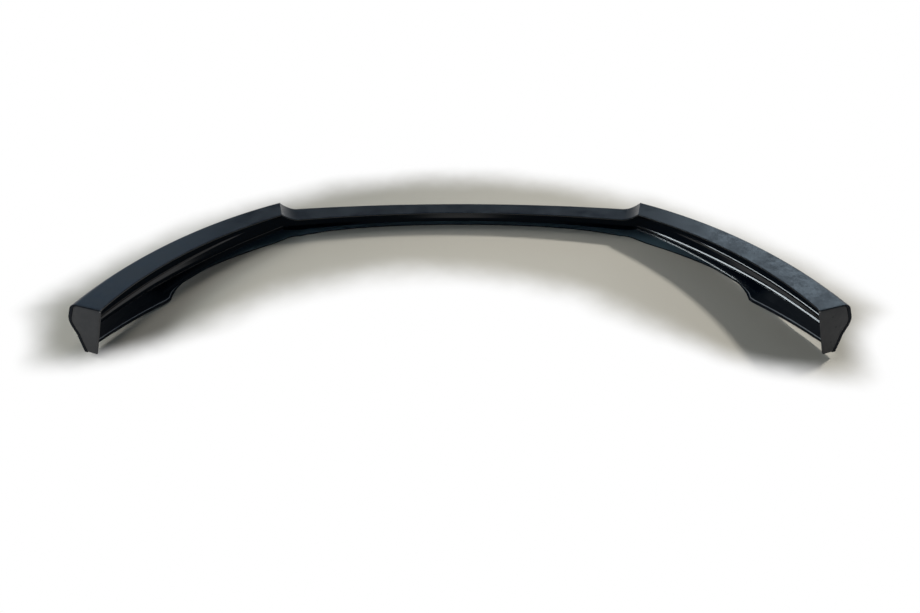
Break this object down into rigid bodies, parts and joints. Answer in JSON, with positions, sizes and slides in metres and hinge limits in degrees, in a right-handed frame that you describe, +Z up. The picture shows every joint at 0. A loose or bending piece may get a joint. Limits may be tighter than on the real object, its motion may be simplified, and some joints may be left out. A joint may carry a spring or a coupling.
{
  "type": "front splitter lip",
  "caption": "Hollow-backed gloss black front lip for a car bumper, with a flat underside strip stepped down at the centre, swept-back wings, a notched foot flange and grey end plates.",
  "frame": {"origin": "middle of the bounding box on the floor, with the lip lying underside up on its foot flange", "axes": "+X across the car, +Y towards the car's front, +Z up as the lip lies, which is down when it is fitted to a car"},
  "size_m": [1.7686, 0.5228, 0.1523],
  "materials": {
    "gloss_black": "gloss black moulded plastic, dusty and smudged on the underside strip",
    "matte_grey": "matte dark grey plastic"
  },
  "bodies": {
    "root": {"lip_shell": "gloss_black", "end_plate_left": "matte_grey", "end_plate_right": "matte_grey"}
  },
  "joints": []
}
